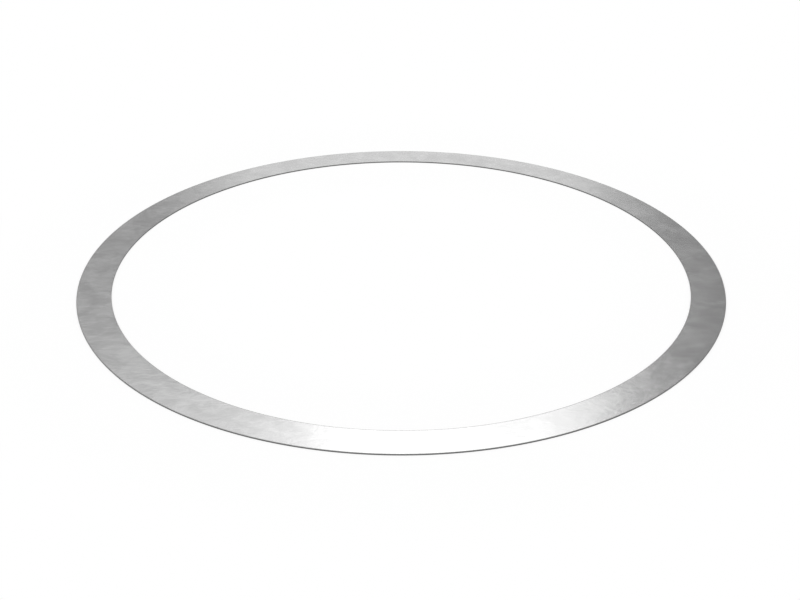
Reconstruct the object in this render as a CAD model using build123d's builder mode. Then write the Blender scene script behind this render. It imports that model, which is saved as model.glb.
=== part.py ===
from build123d import *
import os

# Shim ring: one flat ring, blanked from thin cold-rolled steel strip. It lies on its
# burr-side face at z = 0, with the bore's axis on +Z.
#
# Bore and rim were cut in one press stroke from above, so both walls have the same
# section: a rolled-over upper edge, a straight burnished land, a break that draws back
# from the land, and a lower edge with its burr taken off.

# Driving dimensions, in millimetres
bore_diameter = 215.0
rim_diameter = 240.0
thickness = 0.5

# The blanked walls, in millimetres, as shares of the strip's thickness
rollover_radius = 0.16 * thickness
land_height = 0.40 * thickness
break_setback = 0.04 * thickness
deburr = 0.06 * thickness

bore_radius = bore_diameter / 2
rim_radius = rim_diameter / 2
land_bottom = thickness - rollover_radius - land_height

with BuildPart() as shim_ring:
    with BuildSketch(Plane.XZ):
        with BuildLine():
            Polyline(
                (bore_radius + break_setback, 0),
                (rim_radius - break_setback, 0),
                (rim_radius, land_bottom),
                (rim_radius, thickness),
                (bore_radius, thickness),
                (bore_radius, land_bottom),
                close=True,
            )
        make_face()
        fillet(vertices().group_by(Axis.Y)[-1], rollover_radius)
        chamfer(vertices().group_by(Axis.Y)[0], deburr)
    revolve(axis=Axis.Z)

shim_ring.part.label = "shim_ring"

os.makedirs("parts", exist_ok=True)
export_step(shim_ring.part, "parts/shim_ring.step")
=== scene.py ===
import bpy
import math
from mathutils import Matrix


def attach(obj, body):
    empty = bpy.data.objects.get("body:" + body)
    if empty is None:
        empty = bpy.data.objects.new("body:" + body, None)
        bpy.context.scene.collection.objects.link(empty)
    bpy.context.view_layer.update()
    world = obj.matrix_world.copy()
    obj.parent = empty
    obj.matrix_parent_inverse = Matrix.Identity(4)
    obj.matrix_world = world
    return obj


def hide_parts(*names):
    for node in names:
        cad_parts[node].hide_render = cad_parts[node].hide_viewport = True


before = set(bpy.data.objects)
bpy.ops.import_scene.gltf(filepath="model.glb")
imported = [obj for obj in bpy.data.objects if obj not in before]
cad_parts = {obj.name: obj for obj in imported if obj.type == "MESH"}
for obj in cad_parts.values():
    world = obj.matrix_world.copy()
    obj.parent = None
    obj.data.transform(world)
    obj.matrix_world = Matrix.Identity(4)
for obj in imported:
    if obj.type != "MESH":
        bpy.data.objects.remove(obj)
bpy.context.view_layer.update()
print("frame loaded")

mm = 0.001


# edges and points are picked in object mode, and changed in edit mode
def edgesWhere(mesh, test):
    for edge in mesh.edges:
        edge.select = all(test(mesh.vertices[i].co) for i in edge.vertices)


def pointsWhere(mesh, test):
    for part in (*mesh.edges, *mesh.polygons):
        part.select = False
    for point in mesh.vertices:
        point.select = test(point.co)


def inEditMode(*steps):
    bpy.ops.object.mode_set(mode="EDIT")
    for step in steps:
        step()
    bpy.ops.object.mode_set(mode="OBJECT")


def selectAll():
    bpy.ops.mesh.select_all(action="SELECT")


# the ring
ringSizes = {
    "boreRadius": 107.5 * mm,
    "rimRadius": 120.0 * mm,
    "thickness": 0.5 * mm,
    "rollover": 0.08 * mm,       # radius of the drawn-down upper edges
    "rolloverSteps": 4,
    "landBottom": 0.22 * mm,     # the shiny part of the cut wall starts here
    "breakSetback": 0.02 * mm,   # how far the torn part draws back at the bottom
    "deburr": 0.03 * mm,
    "keepFlat": 0.06 * mm,       # keeps the shading flat right up to the edges
    "faceCuts": 5,
    "turnSteps": 720,
    "tolerance": 0.001 * mm,     # points closer than this are one
    "smoothUnder": 30.0,         # degrees between faces
    "wallSlope": 0.35,           # a face whose normal rises less than this is part of a cut wall
}


def makeSection(sizes):
    # the strip's cross-section, standing on the X axis between bore and rim
    width = sizes["rimRadius"] - sizes["boreRadius"]
    middle = (sizes["rimRadius"] + sizes["boreRadius"]) / 2
    top = sizes["thickness"]
    tiny = top * 0.01
    flatHalf = width / 2 - sizes["rollover"] - sizes["keepFlat"]

    def cutAcross(place, normal):
        inEditMode(selectAll, lambda: bpy.ops.mesh.bisect(
            plane_co=place, plane_no=normal, threshold=sizes["tolerance"]))

    bpy.ops.object.select_all(action="DESELECT")
    bpy.ops.mesh.primitive_plane_add(size=1, location=(middle, 0, top / 2), rotation=(math.pi / 2, 0, 0))
    ring = bpy.context.object
    ring.name = "shimRing"
    ring.scale = (width, top, 1)
    bpy.ops.object.transform_apply(location=True, rotation=True, scale=True)
    mesh = ring.data

    # only the outline is spun
    inEditMode(selectAll, lambda: bpy.ops.mesh.delete(type="ONLY_FACE"))
    cutAcross((middle, 0, sizes["landBottom"]), (0, 0, 1))

    # the torn part leans back below the land
    pointsWhere(mesh, lambda co: co.z < tiny)
    inEditMode(lambda: bpy.ops.transform.resize(
        value=(1 - 2 * sizes["breakSetback"] / width, 1, 1), center_override=(middle, 0, 0)))

    # rolled-over upper edges, then lower edges with the burr taken off
    pointsWhere(mesh, lambda co: co.z > top - tiny)
    inEditMode(lambda: bpy.ops.mesh.bevel(
        affect="VERTICES", offset=sizes["rollover"], segments=sizes["rolloverSteps"]))
    pointsWhere(mesh, lambda co: co.z < tiny)
    inEditMode(lambda: bpy.ops.mesh.bevel(affect="VERTICES", offset=sizes["deburr"], segments=1))

    # a cut close to each edge of the flats, and a few across them
    for x in (middle - flatHalf, middle + flatHalf):
        cutAcross((x, 0, 0), (1, 0, 0))
    edgesWhere(mesh, lambda co: abs(co.x - middle) < flatHalf + tiny)
    inEditMode(lambda: bpy.ops.mesh.subdivide(number_cuts=sizes["faceCuts"]))
    return ring


def measureOutline(mesh):
    # walks round the section from its lower bore corner: each stretch's two ends as (radius, height),
    # and the length walked at either end
    links = {}
    for edge in mesh.edges:
        a, b = edge.vertices
        links.setdefault(a, []).append(b)
        links.setdefault(b, []).append(a)
    points = [(vertex.co.x, vertex.co.z) for vertex in mesh.vertices]
    start = min(range(len(points)), key=lambda i: (round(points[i][1], 7), points[i][0]))
    path, before = [start], start
    here = max(links[start], key=lambda i: points[i][1])
    while here != start:
        path.append(here)
        following = [i for i in links[here] if i != before][0]
        before, here = here, following
    path.append(start)
    outline, walked = [], 0.0
    for a, b in zip(path, path[1:]):
        step = math.dist(points[a], points[b])
        outline.append((points[a], points[b], walked, walked + step))
        walked += step
    return outline, walked


def spinSection(sizes):
    inEditMode(
        selectAll,
        lambda: bpy.ops.mesh.spin(steps=sizes["turnSteps"], angle=2 * math.pi, center=(0, 0, 0), axis=(0, 0, 1)),
        selectAll,
        lambda: bpy.ops.mesh.remove_doubles(threshold=sizes["tolerance"]),
        lambda: bpy.ops.mesh.normals_make_consistent(inside=False),
    )
    bpy.ops.object.shade_smooth_by_angle(angle=math.radians(sizes["smoothUnder"]))


ring = makeSection(ringSizes)
outline, girth = measureOutline(ring.data)
print("ring section:", len(outline), "points")
spinSection(ringSizes)
print("ring spun:", len(ring.data.polygons), "faces")

# the ring's skin laid out flat for the bake: straight lengths, one above the other
layout = {
    "lengths": 5,
    "gap": 1.2 * mm,
}


def layOutSkin(ring, outline, girth, sizes, layout):
    mesh = ring.data
    skin = mesh.uv_layers.new(name="OFBake")
    gap = layout["gap"]
    turn = 2 * math.pi / layout["lengths"]
    radius = (sizes["boreRadius"] + sizes["rimRadius"]) / 2
    rowHeight = girth + gap
    side = max(turn * radius + 2 * gap, layout["lengths"] * rowHeight + gap)
    for face in mesh.polygons:
        centre = face.center
        angle = math.atan2(centre.y, centre.x) % (2 * math.pi)
        row = min(int(angle / turn), layout["lengths"] - 1)
        # the stretch of outline that this face was spun from
        here = (math.hypot(centre.x, centre.y), centre.z)
        a, b, walkedA, walkedB = min(outline, key=lambda piece: math.dist(
            here, ((piece[0][0] + piece[1][0]) / 2, (piece[0][1] + piece[1][1]) / 2)))
        for loop in face.loop_indices:
            co = mesh.vertices[mesh.loops[loop].vertex_index].co
            beyond = math.atan2(co.y, co.x) - angle
            beyond = (beyond + math.pi) % (2 * math.pi) - math.pi
            along = (angle + beyond - row * turn) * radius
            corner = (math.hypot(co.x, co.y), co.z)
            across = walkedA if math.dist(a, corner) < math.dist(b, corner) else walkedB
            skin.data[loop].uv = ((along + gap) / side, (gap + row * rowHeight + across) / side)


layOutSkin(ring, outline, girth, ringSizes, layout)
print("skin laid out")


# building blocks for the shaders
def feed(tree, socket, value):
    # a number or colour is set on the socket itself, and anything else is linked to it
    if isinstance(value, (int, float, tuple)):
        socket.default_value = value
    else:
        tree.links.new(value, socket)


def mathNode(tree, operation, a, b=None, c=None, clamp=False):
    node = tree.nodes.new("ShaderNodeMath")
    node.operation = operation
    node.use_clamp = clamp
    for socket, value in zip(node.inputs, (a, b, c)):
        if value is not None:
            feed(tree, socket, value)
    return node.outputs[0]


def vectorNode(tree, operation, a, b=None):
    node = tree.nodes.new("ShaderNodeVectorMath")
    node.operation = operation
    for socket, value in zip(node.inputs, (a, b)):
        if value is not None:
            feed(tree, socket, value)
    return node.outputs["Value" if operation == "LENGTH" else "Vector"]


def separate(tree, vector):
    node = tree.nodes.new("ShaderNodeSeparateXYZ")
    tree.links.new(vector, node.inputs[0])
    return node.outputs


def rangeNode(tree, value, fromMin, fromMax, toMin=0.0, toMax=1.0, smooth=True):
    node = tree.nodes.new("ShaderNodeMapRange")
    node.interpolation_type = "SMOOTHSTEP" if smooth else "LINEAR"
    feed(tree, node.inputs["Value"], value)
    for name, limit in (("From Min", fromMin), ("From Max", fromMax), ("To Min", toMin), ("To Max", toMax)):
        feed(tree, node.inputs[name], limit)
    return node.outputs["Result"]


def noiseNode(tree, place, scale, settings):
    node = tree.nodes.new("ShaderNodeTexNoise")
    tree.links.new(place, node.inputs["Vector"])
    feed(tree, node.inputs["Scale"], scale)
    for name, value in settings.items():
        node.inputs[name].default_value = value
    return node.outputs["Fac"]


def bumpNode(tree, height, distance, strength=1.0, normal=None):
    node = tree.nodes.new("ShaderNodeBump")
    node.inputs["Strength"].default_value = strength
    node.inputs["Distance"].default_value = distance
    tree.links.new(height, node.inputs["Height"])
    if normal is not None:
        tree.links.new(normal, node.inputs["Normal"])
    return node.outputs["Normal"]


def mixColours(tree, factor, a, b):
    node = tree.nodes.new("ShaderNodeMix")
    node.data_type = "RGBA"
    tree.links.new(factor, node.inputs["Factor"])
    feed(tree, node.inputs[6], a)    # 6, 7 and 2 are the node's colour sockets
    feed(tree, node.inputs[7], b)
    return node.outputs[2]


def weighedSum(tree, sources, shares):
    total = 0.0
    for name, share in shares.items():
        total = mathNode(tree, "MULTIPLY_ADD", sources[name], share, total, clamp=True)
    return total


def newGroup(name, inputs, outputs):
    group = bpy.data.node_groups.new(name, "ShaderNodeTree")
    for socketName, kind, value in inputs:
        socket = group.interface.new_socket(name=socketName, in_out="INPUT", socket_type=kind)
        if value is not None:
            socket.default_value = value
    for socketName in outputs:
        group.interface.new_socket(name=socketName, in_out="OUTPUT", socket_type="NodeSocketFloat")
    return group, group.nodes.new("NodeGroupInput").outputs, group.nodes.new("NodeGroupOutput").inputs


def useGroup(tree, group, place, values):
    node = tree.nodes.new("ShaderNodeGroup")
    node.node_tree = group
    tree.links.new(place, node.inputs["Vector"])
    for name, value in values.items():
        node.inputs[name].default_value = value
    return node.outputs


def newSteel(name):
    material = bpy.data.materials.new(name)
    material.use_nodes = True
    tree = material.node_tree
    shader = tree.nodes["Principled BSDF"].inputs
    shader["Metallic"].default_value = 1.0
    return material, tree, shader, tree.nodes.new("ShaderNodeTexCoord").outputs["Object"]


# soft mottling of cold-rolled strip: broad clouds, wisps drawn out along the rolling direction, and specks
cloudPattern = {
    "clouds": {"Detail": 5.0, "Roughness": 0.6, "Distortion": 0.8},
    "wisps": {"Detail": 3.0, "Roughness": 0.6, "Distortion": 1.2},
    "specks": {"Detail": 1.0},
    "cloudLimits": (0.36, 0.64),    # noise levels at which each shows not at all, and in full
    "wispLimits": (0.42, 0.66),
    "speckLimits": (0.66, 0.76),
    "speckFineness": 3.5,           # against the wisps
}

# hair-fine straight lines
grainPattern = {
    "lines": {"Detail": 2.0, "Roughness": 0.6},
    "lineLimits": (0.3, 0.7),
}


def makeClouds(pattern):
    group, start, end = newGroup(
        "rolledClouds",
        [("Vector", "NodeSocketVector", None), ("Cloud Scale", "NodeSocketFloat", 95.0),
         ("Wisp Scale", "NodeSocketFloat", 300.0), ("Wisp Stretch", "NodeSocketFloat", 0.5)],
        ["Clouds", "Wisps", "Specks"])
    stretch = group.nodes.new("ShaderNodeCombineXYZ")
    for axis, value in (("X", start["Wisp Stretch"]), ("Y", 1.0), ("Z", 1.0)):
        feed(group, stretch.inputs[axis], value)
    drawn = vectorNode(group, "MULTIPLY", start["Vector"], stretch.outputs["Vector"])
    speckScale = mathNode(group, "MULTIPLY", start["Wisp Scale"], pattern["speckFineness"])
    cloud = noiseNode(group, start["Vector"], start["Cloud Scale"], pattern["clouds"])
    wisp = noiseNode(group, drawn, start["Wisp Scale"], pattern["wisps"])
    speck = noiseNode(group, drawn, speckScale, pattern["specks"])
    group.links.new(rangeNode(group, cloud, *pattern["cloudLimits"]), end["Clouds"])
    group.links.new(rangeNode(group, wisp, *pattern["wispLimits"]), end["Wisps"])
    group.links.new(rangeNode(group, speck, *pattern["speckLimits"]), end["Specks"])
    return group


def makeGrain(pattern):
    group, start, end = newGroup(
        "rolledGrain",
        [("Vector", "NodeSocketVector", None), ("Lines per Metre", "NodeSocketVector", (250.0, 6500.0, 250.0))],
        ["Grain"])
    drawn = vectorNode(group, "MULTIPLY", start["Vector"], start["Lines per Metre"])
    line = noiseNode(group, drawn, 1.0, pattern["lines"])
    group.links.new(rangeNode(group, line, *pattern["lineLimits"]), end["Grain"])
    return group


clouds = makeClouds(cloudPattern)
grain = makeGrain(grainPattern)

# the two rolled faces, with the edges drawn down towards bore and rim, and a darker band of painted shade along
# them
rolledFinish = {
    "dark": (0.56, 0.56, 0.56, 1.0),
    "pale": (0.66, 0.66, 0.66, 1.0),
    "clouds": {"Cloud Scale": 95.0, "Wisp Scale": 300.0, "Wisp Stretch": 0.5},
    "grain": {"Lines per Metre": (250.0, 6500.0, 250.0)},
    "paleShares": {"Clouds": 0.60, "Wisps": 0.30, "Specks": 0.45, "Grain": 0.10},
    "dullShares": {"Clouds": 0.6, "Wisps": 0.4},
    "roughness": (0.192, 0.222),       # where it is bright, and where it is dull
    "cloudHeight": 0.012 * mm,
    "grainHeight": 0.00035 * mm,
    "edge": (0.30, 0.30, 0.30, 1.0),   # painted shade: a dark band along bore and rim, standing in for the line the rolled-over edges show
    "edgeBand": 0.35 * mm,
    "edgeFull": 0.2,                   # share of the band, at its outside, that has the painted shade's tone in full
    "edgeDulling": 0.15,
}


def makeRolledSteel(finish, sizes):
    material, tree, shader, place = newSteel("rolledSteel")
    broad = useGroup(tree, clouds, place, finish["clouds"])
    lines = useGroup(tree, grain, place, finish["grain"])
    sources = {**{name: broad[name] for name in ("Clouds", "Wisps", "Specks")}, "Grain": lines["Grain"]}
    tone = weighedSum(tree, sources, finish["paleShares"])
    dullness = weighedSum(tree, sources, finish["dullShares"])

    # distance from the nearer cut edge
    radius = vectorNode(tree, "LENGTH", vectorNode(tree, "MULTIPLY", place, (1.0, 1.0, 0.0)))
    middle = (sizes["boreRadius"] + sizes["rimRadius"]) / 2
    half = (sizes["rimRadius"] - sizes["boreRadius"]) / 2
    offCentre = mathNode(tree, "ABSOLUTE", mathNode(tree, "SUBTRACT", radius, middle))
    # a band close to bore and rim, darkened with painted shade and made rougher
    edgeShadeAndDulling = rangeNode(tree, offCentre, half - finish["edgeBand"], half - finish["edgeFull"] * finish["edgeBand"])

    colour = mixColours(tree, tone, finish["dark"], finish["pale"])
    # the painted edge shade is mixed into the base colour here
    feed(tree, shader["Base Color"], mixColours(tree, edgeShadeAndDulling, colour, finish["edge"]))
    rough = rangeNode(tree, dullness, 0.0, 1.0, *finish["roughness"], smooth=False)
    feed(tree, shader["Roughness"], mathNode(tree, "MULTIPLY_ADD", edgeShadeAndDulling, finish["edgeDulling"], rough))
    waves = bumpNode(tree, dullness, finish["cloudHeight"])
    feed(tree, shader["Normal"], bumpNode(tree, lines["Grain"], finish["grainHeight"], normal=waves))
    return material


# the walls of bore and rim, cut by the press: a burnished land above, torn metal below; both tones are set far
# darker than the steel itself, so they hold painted shade for the walls' dark line as well as the torn metal's
# real dullness
cutFinish = {
    # painted shade: the land's tone is far darker than burnished steel
    "land": (0.19, 0.19, 0.19, 1.0),
    # the torn metal's duller tone, deepened further with painted shade
    "torn": (0.105, 0.105, 0.105, 1.0),
    "landRoughness": 0.32,
    "tornRoughness": 0.6,
    "scores": {"Lines per Metre": (2600.0, 2600.0, 350.0)},
    "crumbs": {"Lines per Metre": (9000.0, 9000.0, 9000.0)},
    "speckle": (0.8, 1.15),                 # darkest and palest crumbs, against the tone
    "wander": 0.06 * mm,                    # how far the land's lower limit strays round the ring
    "landFade": (0.02 * mm, 0.04 * mm),     # above the land's bottom
    "crumbShares": (1.0, 0.1),              # of the relief, on the torn metal and on the land
    "scoreHeight": 0.004 * mm,
    "reliefStrength": 0.8,
}


def makeCutSteel(finish, sizes):
    material, tree, shader, place = newSteel("cutSteel")
    scores = useGroup(tree, grain, place, finish["scores"])["Grain"]
    crumbs = useGroup(tree, grain, place, finish["crumbs"])["Grain"]
    height = mathNode(tree, "MULTIPLY_ADD", scores, finish["wander"], separate(tree, place)["Z"])
    onLand = rangeNode(tree, height, *(sizes["landBottom"] + step for step in finish["landFade"]))

    shade = tree.nodes.new("ShaderNodeVectorMath")
    shade.operation = "SCALE"
    # the wall's tone, land or torn, carries painted shade
    tree.links.new(mixColours(tree, onLand, finish["torn"], finish["land"]), shade.inputs[0])
    tree.links.new(rangeNode(tree, crumbs, 0.0, 1.0, *finish["speckle"], smooth=False), shade.inputs["Scale"])
    feed(tree, shader["Base Color"], shade.outputs["Vector"])
    feed(tree, shader["Roughness"], rangeNode(
        tree, onLand, 0.0, 1.0, finish["tornRoughness"], finish["landRoughness"]))
    crumbShare = rangeNode(tree, onLand, 0.0, 1.0, *finish["crumbShares"])
    relief = mathNode(tree, "MULTIPLY_ADD", crumbs, crumbShare, scores)
    feed(tree, shader["Normal"], bumpNode(tree, relief, finish["scoreHeight"], finish["reliefStrength"]))
    return material


ring.data.materials.append(makeRolledSteel(rolledFinish, ringSizes))
ring.data.materials.append(makeCutSteel(cutFinish, ringSizes))
for face in ring.data.polygons:
    face.material_index = 1 if abs(face.normal.z) < ringSizes["wallSlope"] else 0

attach(ring, "root")
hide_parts("shim_ring")
print("finishes made")

# the floor: close to the ring it takes light and shadow, and everywhere else it is plain white
floorLook = {
    "size": 12.0,
    "drop": 0.01 * mm,
    "colour": (1.0, 1.0, 1.0, 1.0),
    "ownWhite": 0.80,    # share of plain white that shows in place of the lit colour, close to the ring
    "litUpTo": 0.13,     # outwards, from the centre, and then it turns plain white
    "whiteFrom": 0.17,
    "litFrom": 0.095,    # the same inwards
    "whiteUpTo": 0.07,
}


def makeFloor(look):
    bpy.ops.object.select_all(action="DESELECT")
    bpy.ops.mesh.primitive_plane_add(size=look["size"], location=(0, 0, -look["drop"]))
    floor = bpy.context.object
    floor.name = "floor"
    material = bpy.data.materials.new("floorWhite")
    material.use_nodes = True
    tree = material.node_tree
    shader = tree.nodes["Principled BSDF"]
    shader.inputs["Base Color"].default_value = look["colour"]
    shader.inputs["Roughness"].default_value = 1.0
    shader.inputs["Specular IOR Level"].default_value = 0.0
    white = tree.nodes.new("ShaderNodeEmission")
    rays = tree.nodes.new("ShaderNodeLightPath").outputs
    seen = mathNode(tree, "MAXIMUM", rays["Is Camera Ray"], rays["Is Glossy Ray"])
    seen = mathNode(tree, "MAXIMUM", seen, rays["Is Transmission Ray"])
    away = vectorNode(tree, "LENGTH", tree.nodes.new("ShaderNodeTexCoord").outputs["Object"])
    plain = mathNode(tree, "MAXIMUM",
                     rangeNode(tree, away, look["litUpTo"], look["whiteFrom"]),
                     rangeNode(tree, away, look["litFrom"], look["whiteUpTo"]))
    share = rangeNode(tree, plain, 0.0, 1.0, look["ownWhite"], 1.0, smooth=False)
    blend = tree.nodes.new("ShaderNodeMixShader")
    tree.links.new(mathNode(tree, "MULTIPLY", seen, share), blend.inputs["Fac"])
    tree.links.new(shader.outputs["BSDF"], blend.inputs[1])
    tree.links.new(white.outputs["Emission"], blend.inputs[2])
    tree.links.new(blend.outputs["Shader"], tree.nodes["Material Output"].inputs["Surface"])
    floor.data.materials.append(material)


makeFloor(floorLook)

# the studio: a grey room with soft boxes round it
# each box: direction it hangs in and half its size, in degrees, its soft border, and its brightness
softBoxes = {
    "backHigh": {"turn": 3.4, "rise": 39.4, "halfTurn": 6.7, "halfRise": 8.0, "border": 2.0, "bright": 1.65},
    "backLow": {"turn": 0.6, "rise": 15.6, "halfTurn": 8.2, "halfRise": 13.0, "border": 3.0, "bright": 0.54},
    "backLeft": {"turn": -17.7, "rise": 39.9, "halfTurn": 14.4, "halfRise": 5.8, "border": 4.0, "bright": 0.84},
    "rightHigh": {"turn": 93.0, "rise": 38.0, "halfTurn": 4.0, "halfRise": 8.0, "border": 4.0, "bright": 1.4},
    "rightLow": {"turn": 88.0, "rise": 14.0, "halfTurn": 5.0, "halfRise": 10.0, "border": 5.0, "bright": 0.5},
    "leftHigh": {"turn": -92.0, "rise": 38.0, "halfTurn": 5.0, "halfRise": 8.0, "border": 4.0, "bright": 1.3},
    "leftLow": {"turn": -87.0, "rise": 14.0, "halfTurn": 5.0, "halfRise": 10.0, "border": 5.0, "bright": 0.5},
    "frontHigh": {"turn": 177.0, "rise": 38.0, "halfTurn": 5.0, "halfRise": 8.0, "border": 4.0, "bright": 1.4},
    "frontLow": {"turn": -178.0, "rise": 14.0, "halfTurn": 5.0, "halfRise": 10.0, "border": 5.0, "bright": 0.5},
    "frontLeft": {"turn": -135.0, "rise": 38.0, "halfTurn": 8.0, "halfRise": 8.0, "border": 8.0, "bright": 0.7},
    "frontRight": {"turn": 135.0, "rise": 38.0, "halfTurn": 8.0, "halfRise": 8.0, "border": 8.0, "bright": 0.7},
}

# the room's own brightness by height above the floor, in degrees
roomLight = {
    "foot": 0.48, "footUpTo": 4.0,
    "wall": 0.372, "wallFrom": 18.0, "wallUpTo": 36.9,
    "ceiling": 0.82, "ceilingFrom": 54.6,
    "rightLoss": 0.122,    # the right is this much dimmer than the middle, and the left as much brighter
}

boxSockets = {"turn": "Box Turn", "rise": "Box Rise", "halfTurn": "Half Turn", "halfRise": "Half Rise",
              "border": "Border"}


def makeSoftBoxGroup():
    group, start, end = newGroup(
        "softBox",
        [("Turn", "NodeSocketFloat", 0.0), ("Rise", "NodeSocketFloat", 0.0),
         *((name, "NodeSocketFloat", 0.0) for name in boxSockets.values())],
        ["Lit"])
    away = mathNode(group, "SUBTRACT", start["Turn"], start["Box Turn"])
    away = mathNode(group, "ABSOLUTE", mathNode(group, "WRAP", away, 180.0, -180.0))
    above = mathNode(group, "ABSOLUTE", mathNode(group, "SUBTRACT", start["Rise"], start["Box Rise"]))
    parts = [rangeNode(group, distance, mathNode(group, "ADD", start[half], start["Border"]), start[half])
             for distance, half in ((away, "Half Turn"), (above, "Half Rise"))]
    group.links.new(mathNode(group, "MULTIPLY", *parts), end["Lit"])
    return group


def makeRoom(room, boxes):
    world = bpy.data.worlds.new("studio")
    bpy.context.scene.world = world
    world.use_nodes = True
    tree = world.node_tree
    tree.nodes.clear()
    towards = separate(tree, tree.nodes.new("ShaderNodeTexCoord").outputs["Generated"])
    turn = mathNode(tree, "DEGREES", mathNode(tree, "ARCTAN2", towards["X"], towards["Y"]))
    rise = mathNode(tree, "DEGREES", mathNode(tree, "ARCSINE", towards["Z"]))
    level = rangeNode(tree, rise, room["footUpTo"], room["wallFrom"], room["foot"], room["wall"])
    level = mathNode(tree, "ADD", level, rangeNode(
        tree, rise, room["wallUpTo"], room["ceilingFrom"], 0.0, room["ceiling"] - room["wall"]))
    level = mathNode(tree, "MULTIPLY_ADD", towards["X"], -room["rightLoss"], level)
    group = makeSoftBoxGroup()
    for name, box in boxes.items():
        node = tree.nodes.new("ShaderNodeGroup")
        node.node_tree = group
        node.label = name
        tree.links.new(turn, node.inputs["Turn"])
        tree.links.new(rise, node.inputs["Rise"])
        for key, socket in boxSockets.items():
            node.inputs[socket].default_value = box[key]
        level = mathNode(tree, "MULTIPLY_ADD", node.outputs["Lit"], box["bright"], level)

    # only reflections see the room; the backdrop, and the light on the floor, are plain white
    rays = tree.nodes.new("ShaderNodeLightPath").outputs
    seen = mathNode(tree, "MAXIMUM", rays["Is Camera Ray"], rays["Is Transmission Ray"])
    seen = mathNode(tree, "MAXIMUM", seen, rays["Is Diffuse Ray"])
    blend = tree.nodes.new("ShaderNodeMixShader")
    tree.links.new(seen, blend.inputs["Fac"])
    for socket, strength in ((blend.inputs[1], level), (blend.inputs[2], 1.0)):
        light = tree.nodes.new("ShaderNodeBackground")
        light.inputs["Color"].default_value = (1, 1, 1, 1)
        feed(tree, light.inputs["Strength"], strength)
        tree.links.new(light.outputs["Background"], socket)
    end = tree.nodes.new("ShaderNodeOutputWorld")
    tree.links.new(blend.outputs["Shader"], end.inputs["Surface"])


makeRoom(roomLight, softBoxes)
print("studio lit")

# the camera
cameraSetup = {
    "place": (0.0, -0.4354, 0.2232),
    "tilt": 61.578,
    "turn": 0.056,
    "lens": 58.17,
    "sensor": 36.0,
    "clipStart": 0.01,
}


def makeCamera(setup):
    bpy.ops.object.select_all(action="DESELECT")
    bpy.ops.object.camera_add(
        location=setup["place"], rotation=(math.radians(setup["tilt"]), 0, math.radians(setup["turn"])))
    camera = bpy.context.object
    camera.name = "camera"
    camera.data.lens = setup["lens"]
    camera.data.sensor_width = setup["sensor"]
    camera.data.clip_start = setup["clipStart"]
    bpy.context.scene.camera = camera


makeCamera(cameraSetup)
bpy.context.scene.view_settings.view_transform = "Standard"

print("camera set")
